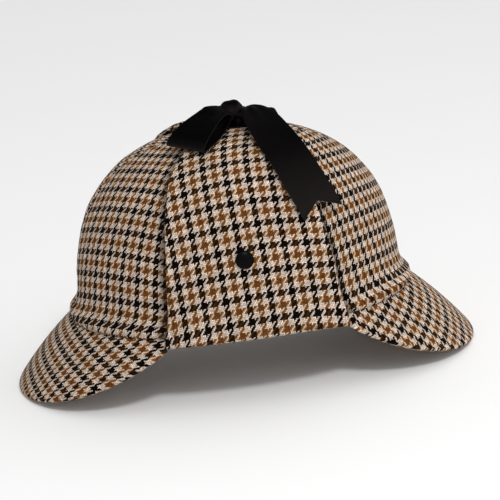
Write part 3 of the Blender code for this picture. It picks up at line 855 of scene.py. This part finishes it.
def ribbon_material():
    """Grosgrain: fine ribs across the ribbon, painted darker in their hollows, and painted lighter
    where it hangs than where it faces up.
    """
    material, wire, shader = new_material("grosgrain")
    cut = wire.add("UVMap", {"uv_map": "cut"})
    rib = wire.maths("SINE", cut.part(1) * (2 * math.pi / RIB_PITCH)) * 0.5 + 0.5
    thread = wire.maths("SINE", cut.part(0) * (2 * math.pi / THREAD_PITCH)) * 0.5 + 0.5
    cloudy = wire.noise(cut, 160, detail=3.0)
    # painted shade: the colour is darker in the hollows between the ribs
    shade = 0.45 + 0.80 * rib + 0.4 * cloudy
    # painted light: lighter where the surface hangs, darker where it faces up
    rise = wire.add("TexCoord", output=1).part(2)
    painted_light_share = wire.maths("MAXIMUM", 1.6 * (FACING_UP - rise), 0.0)
    painted_light_share = wire.maths("MINIMUM", painted_light_share, 1.0)
    colour = wire.mix(painted_light_share, RIBBON_BLACK, RIBBON_PAINTED_LIGHT)
    wire.feed(shader, "Base Color", colour.scaled(shade))
    wire.feed(shader, "Roughness", 0.40 + 0.12 * cloudy)
    height = rib + 0.25 * thread + 0.2 * cloudy
    sockets = {"Strength": 0.7, "Distance": RIBBON_RELIEF, "Height": height}
    wire.feed(shader, "Normal", wire.add("Bump", sockets=sockets))
    shader.inputs["Specular IOR Level"].default_value = 0.006
    return material


GROSGRAIN = ribbon_material()


def stations_at(stations, along):
    """A smooth curve through the stations, one array for each of their columns."""
    rows = np.array(stations)
    place = np.clip(along, 0, 1) * (len(rows) - 1)
    low = np.minimum(place.astype(int), len(rows) - 2)
    part = (place - low)[..., None]
    a, b, c, d = (rows[np.clip(low + step, 0, len(rows) - 1)] for step in (-1, 0, 1, 2))
    curve = 0.5 * (2 * b + (c - a) * part + (2 * a - 5 * b + 4 * c - d) * part ** 2
                   + (3 * b - a - 3 * c + d) * part ** 3)
    return np.moveaxis(curve, -1, 0)


def over_crown(left, rear, lift):
    """Points at a height square to the crown, and the crown's normal there."""
    plan = np.hypot(left / HALF_WIDTH, rear / HALF_LENGTH)
    rise = CROWN_RISE * np.maximum(1 - plan ** ROUNDNESS, 0) ** (1 / ROUNDNESS)
    seat = points(left, rear, rise)
    normal = plain_normal(seat)
    return seat + normal * lift[..., None], normal


def ribbon_middle(stations, across, along, heading=None):
    """A point of the ribbon's middle. A loop gives the one heading that it keeps."""
    left, rear, lift, width, roll = stations_at(stations, along)
    place, normal = over_crown(left, rear, lift)
    if heading is None:
        step = 0.01
        before = over_crown(*stations_at(stations, np.maximum(along - step, 0))[:3])[0]
        after = over_crown(*stations_at(stations, np.minimum(along + step, 1))[:3])[0]
        heading = after - before
    heading = np.broadcast_to(heading, normal.shape)
    heading = heading - normal * (heading * normal).sum(-1, keepdims=True)
    sideways = unit(np.cross(normal, heading))
    tilt = np.radians(roll)[..., None]
    direction = sideways * np.cos(tilt) + normal * np.sin(tilt)
    return place + direction * (RIBBON_WIDTH * width * (across - 0.5))[..., None], normal


def pleats(place, normal, across):
    """Soft folds where the ribbon is drawn together at the knot."""
    away = np.linalg.norm(place - KNOT_CENTRE, axis=-1)
    depth = PLEAT_DEPTH * np.exp(-((away / PLEAT_REACH) ** 2))
    return place + normal * (depth * np.sin(across * PLEATS * math.pi + 0.6))[..., None]


def loop_form(stations, heading_degrees):
    """A loop: out from the knot on its stations, over, and back beneath itself."""
    turn = math.radians(heading_degrees)
    heading = np.array([math.cos(turn), math.sin(turn), 0.0])

    def middle(across, up):
        place, normal = ribbon_middle(stations, across, up, heading)
        return pleats(place, normal, across)

    return middle


def tail_form(stations):
    """A tail: it goes on straight past its last station, and its end is cut to a V."""
    step = 0.03

    def middle(across, up):
        notch = TAIL_NOTCH / TAIL_LENGTH * (1 - abs(2 * across - 1)) * up ** 6
        position = up * (1 - notch) * TAIL_STRAIGHT
        place, normal = ribbon_middle(stations, across, np.minimum(position, 1))
        end, _ = ribbon_middle(stations, across, np.ones_like(up))
        back, _ = ribbon_middle(stations, across, np.full_like(up, 1 - step))
        past = np.maximum(position - 1, 0)[..., None]
        return pleats(place + (end - back) / step * past, normal, across)

    return middle


def tie_form(side):
    """The ribbon's sewn start, flat on the flap's tip and in under the knot."""
    lift = FLAP_SEAT + FLAP_WALL + 2 * STAND_CLEAR + FLAP_UNEVENNESS + TIE_CLEAR
    narrow, wide = TIE_WIDTH
    stations = tuple(
        (side * (TIE_START + TIE_LENGTH * part), TIE_REAR, lift, narrow + (wide - narrow) * part, 0)
        for part in (0.0, 0.25, 0.5, 0.75, 1.0)
    )

    def middle(across, up):
        return ribbon_middle(stations, across, up)[0]

    return middle


for ribbon_name, ribbon_form, ribbon_rows, held, lies_on, width, length, area in (
    ("ribbon_tie_left", tie_form(1), TIE_ROWS, "laid", "ear_flap_left",
     0.0165, 0.0156, 0.00024),
    ("ribbon_tie_right", tie_form(-1), TIE_ROWS, "laid", "ear_flap_right",
     0.0165, 0.0156, 0.00024),
    ("bow_loop_left", loop_form(LOOP_LEFT_STATIONS, LOOP_LEFT_HEADING), LOOP_ROWS,
     "folded", "ear_flap_left", 0.0285, 0.0890, 0.00192),
    ("bow_loop_right", loop_form(LOOP_RIGHT_STATIONS, LOOP_RIGHT_HEADING), LOOP_ROWS,
     "folded", "ear_flap_right", 0.0184, 0.0611, 0.00099),
    ("bow_tail_left", tail_form(TAIL_LEFT_STATIONS), TAIL_ROWS, "draped", "ear_flap_left",
     0.0333, 0.0874, 0.00243),
    ("bow_tail_right", tail_form(TAIL_RIGHT_STATIONS), TAIL_ROWS, "draped", "ear_flap_right",
     0.0326, 0.0770, 0.00199),
):
    ribbon_face = offset(ribbon_form, RIBBON_WALL / 2)
    ribbon = cloth_wall(ribbon_name + "_ribbon", RIBBON_COLUMNS, ribbon_rows, ribbon_face,
                        RIBBON_WALL, RIBBON_EDGE)
    dress(ribbon, GROSGRAIN, ribbon_name)


# ---- knot -------------------------------------------------------------------------------
# The two grosgrain ribbons crossed and drawn tight over the crown's top: a small hard
# lump of slanting folds, a little wider than tall.

KNOT_RADIUS = 0.0075
KNOT_HALF_HEIGHT = 0.0063
KNOT_SEGMENTS = 96
KNOT_RINGS = 64
FOLD_DEPTH = 0.025          # of the seven folds round it, as a share of its radius
FOLD_SLANT = 220            # how far round they turn, in radians a metre along it
DENT_DEPTH = 0.03

bpy.ops.mesh.primitive_uv_sphere_add(segments=KNOT_SEGMENTS, ring_count=KNOT_RINGS,
                                     radius=KNOT_RADIUS)
knot = bpy.context.object
knot.name = knot.data.name = "bow_knot_ribbon"
corners = corners_of(knot.data)
turn = np.arctan2(corners[:, 2], corners[:, 1])
folds = 1 + FOLD_DEPTH * np.sin(7 * turn + FOLD_SLANT * corners[:, 0])
folds = folds - DENT_DEPTH * np.sin(4 * turn + 1)
corners *= folds[:, None]
corners[:, 2] *= KNOT_HALF_HEIGHT / KNOT_RADIUS
corners += KNOT_CENTRE + (0, 0, RIM_HEIGHT)
knot.data.vertices.foreach_set("co", corners.ravel())
knot_cut = knot.data.uv_layers.active
knot_cut.name = "cut"
flat = np.empty(len(knot_cut.data) * 2)
knot_cut.data.foreach_get("uv", flat)
knot_cut.data.foreach_set("uv", flat * 2 * math.pi * KNOT_RADIUS)
bpy.ops.object.shade_smooth()
dress(knot, GROSGRAIN, "bow_knot")


# ---- stud -------------------------------------------------------------------------------
# A plain round stud of pressed metal in black enamel, with a raised rim round a low dome.
# It is fixed through the left flap's outer cloth.

STUD_RADIUS = 0.0055
STUD_HEIGHT = 0.0022
STUD_SINK = 0.0002
STUD_SIDES = 64
STUD_PLACE = (0.300, -0.07)     # share of the way up the flap, and of its half width aside
STUD_RINGS = (
    # (width, rise) of each ring, from the edge to the middle
    (0.0005, 0.0),
    (0.0003, -0.00028),
    (0.0003, 0.00018),
    (0.0010, 0.00040),
    (0.0011, 0.00024),
    (0.0010, 0.00010),
)
STUD_ROUNDING = 0.00035
STUD_CREASE = math.radians(40)
ENAMEL_BLACKS = ((0.0006, 0.0007, 0.0011), (0.0016, 0.0016, 0.0022))


def enamel():
    """Semi-gloss black enamel, faintly speckled."""
    material, wire, shader = new_material("black_enamel")
    place = wire.add("TexCoord", output=3)
    speckle = wire.noise(place, 900, detail=4.0)
    cloudy = wire.noise(place, 180)
    wire.feed(shader, "Base Color", wire.mix(cloudy, *ENAMEL_BLACKS))
    wire.feed(shader, "Roughness", 0.26 + 0.16 * speckle)
    sockets = {"Strength": 0.25, "Distance": 0.00008, "Height": speckle}
    wire.feed(shader, "Normal", wire.add("Bump", sockets=sockets))
    shader.inputs["Specular IOR Level"].default_value = 0.06
    return material


share, span = STUD_PLACE
where = np.array([0.5 + span / 2]), np.array([share])
_, _, stud_normal = (value[0] for value in tangents(flap_middle, *where, step=0.02))
stud_place = flap_middle(*where)[0] + stud_normal * (FLAP_WALL / 2 - STUD_SINK)
lean = math.acos(stud_normal[2])
swing = math.atan2(stud_normal[1], stud_normal[0])
bpy.ops.object.select_all(action="DESELECT")
bpy.ops.mesh.primitive_cylinder_add(
    vertices=STUD_SIDES, radius=STUD_RADIUS, depth=STUD_HEIGHT,
    location=stud_place + stud_normal * STUD_HEIGHT / 2 + (0, 0, RIM_HEIGHT),
    rotation=(0, lean, swing))
stud = bpy.context.object
stud.name = stud.data.name = "flap_stud_enamel"
bpy.ops.object.mode_set(mode="EDIT")
bpy.ops.mesh.select_all(action="DESELECT")
bpy.ops.object.mode_set(mode="OBJECT")
for polygon in stud.data.polygons:
    polygon.select = polygon.normal.z > 0.9
bpy.ops.object.mode_set(mode="EDIT")
for ring, rise in STUD_RINGS:
    bpy.ops.mesh.inset(thickness=ring, depth=rise)
bpy.ops.mesh.poke()
bpy.ops.object.mode_set(mode="OBJECT")
rounding = stud.modifiers.new("rounding", "BEVEL")
rounding.width = STUD_ROUNDING
rounding.segments = 3
rounding.angle_limit = STUD_CREASE
bpy.ops.object.modifier_apply(modifier="rounding")
bpy.ops.object.transform_apply(location=True, rotation=True, scale=True)
bpy.ops.object.shade_smooth_by_angle(angle=STUD_CREASE)
dress(stud, enamel(), "flap_stud")


# ---- studio -----------------------------------------------------------------------------
# A plain pale floor, a white room brighter toward the rear, one soft lamp high on the left,
# and a camera as the photograph has it: almost from the wearer's left, a little from above,
# and turned by the hat's own small tilt.

CAMERA_AZIMUTH = math.radians(83.82)
CAMERA_ELEVATION = math.radians(18.78)
CAMERA_ROLL = math.radians(5.84)
CAMERA_DISTANCE = 1.35
CAMERA_LENS = 153.6
AIM_RIGHT = 0.0057          # the camera aims this far off the middle of the crown's rim
AIM_UP = 0.0265
FLOOR_SIZE = 14
FLOOR_WHITE = (0.97, 0.97, 0.97)
ROOM_LIGHT = 0.76           # from the sides, and what the rear gives more
ROOM_REAR_LIGHT = 0.40
LAMP_PLACE = np.array([1.00, 0.20, 1.35])
LAMP_AIM = np.array([0.0, 0.0, 0.08])
LAMP_SIZE = 0.3
LAMP_POWER = 9


def plain_material(name, colour, roughness):
    """Matt paint, with the faintest cloudiness."""
    material, wire, shader = new_material(name)
    grain = wire.noise(wire.add("TexCoord", output=3), 3)
    wire.feed(shader, "Base Color", wire.mix(grain, colour, tuple(0.99 * c for c in colour)))
    shader.inputs["Roughness"].default_value = roughness
    return material


bpy.ops.object.select_all(action="DESELECT")
bpy.ops.mesh.primitive_plane_add(size=FLOOR_SIZE)
floor = bpy.context.object
floor.name = "floor"
floor.data.materials.append(plain_material("floor", FLOOR_WHITE, 0.9))

world = bpy.data.worlds.new("studio")
bpy.context.scene.world = world
world.use_nodes = True
sky = Wire(world.node_tree)
toward_rear = sky.add("TexCoord", output=0).part(1)
background = world.node_tree.nodes["Background"]
background.inputs["Color"].default_value = (1.0, 1.0, 1.0, 1)
sky.feed(background, "Strength", ROOM_LIGHT + ROOM_REAR_LIGHT * toward_rear)

bpy.ops.object.light_add(type="AREA", location=LAMP_PLACE)
lamp = bpy.context.object
lamp.name = "key_lamp"
lamp.data.shape = "DISK"
lamp.data.size = LAMP_SIZE
lamp.data.energy = LAMP_POWER
toward = LAMP_AIM - LAMP_PLACE
lamp.rotation_euler = (math.acos(-toward[2] / np.linalg.norm(toward)), 0,
                       math.atan2(toward[0], -toward[1]) + math.pi)


def turned_camera():
    """The camera's place and axes, from where it stands and how it is turned."""
    a, e, r = CAMERA_AZIMUTH, CAMERA_ELEVATION, CAMERA_ROLL
    back = np.array([math.sin(a) * math.cos(e), -math.cos(a) * math.cos(e), math.sin(e)])
    level = np.array([math.cos(a), math.sin(a), 0.0])
    painted_light_share = np.cross(back, level)
    right = level * math.cos(r) - painted_light_share * math.sin(r)
    up = level * math.sin(r) + painted_light_share * math.cos(r)
    rim = np.array([0.0, 0.0, RIM_HEIGHT])
    place = rim + back * CAMERA_DISTANCE
    back = unit(place - (rim + right * AIM_RIGHT + up * AIM_UP))
    right = unit(right - back * right.dot(back))
    return place, right, np.cross(back, right), back


place, right, up, back = turned_camera()
bpy.ops.object.camera_add()
camera = bpy.context.object
camera.data.lens = CAMERA_LENS
camera.data.sensor_width = 36
camera.data.clip_start = 0.05
camera.matrix_world = Matrix((*np.stack([right, up, back, place], axis=-1), (0, 0, 0, 1)))
bpy.context.scene.camera = camera
bpy.context.scene.view_settings.view_transform = "Standard"
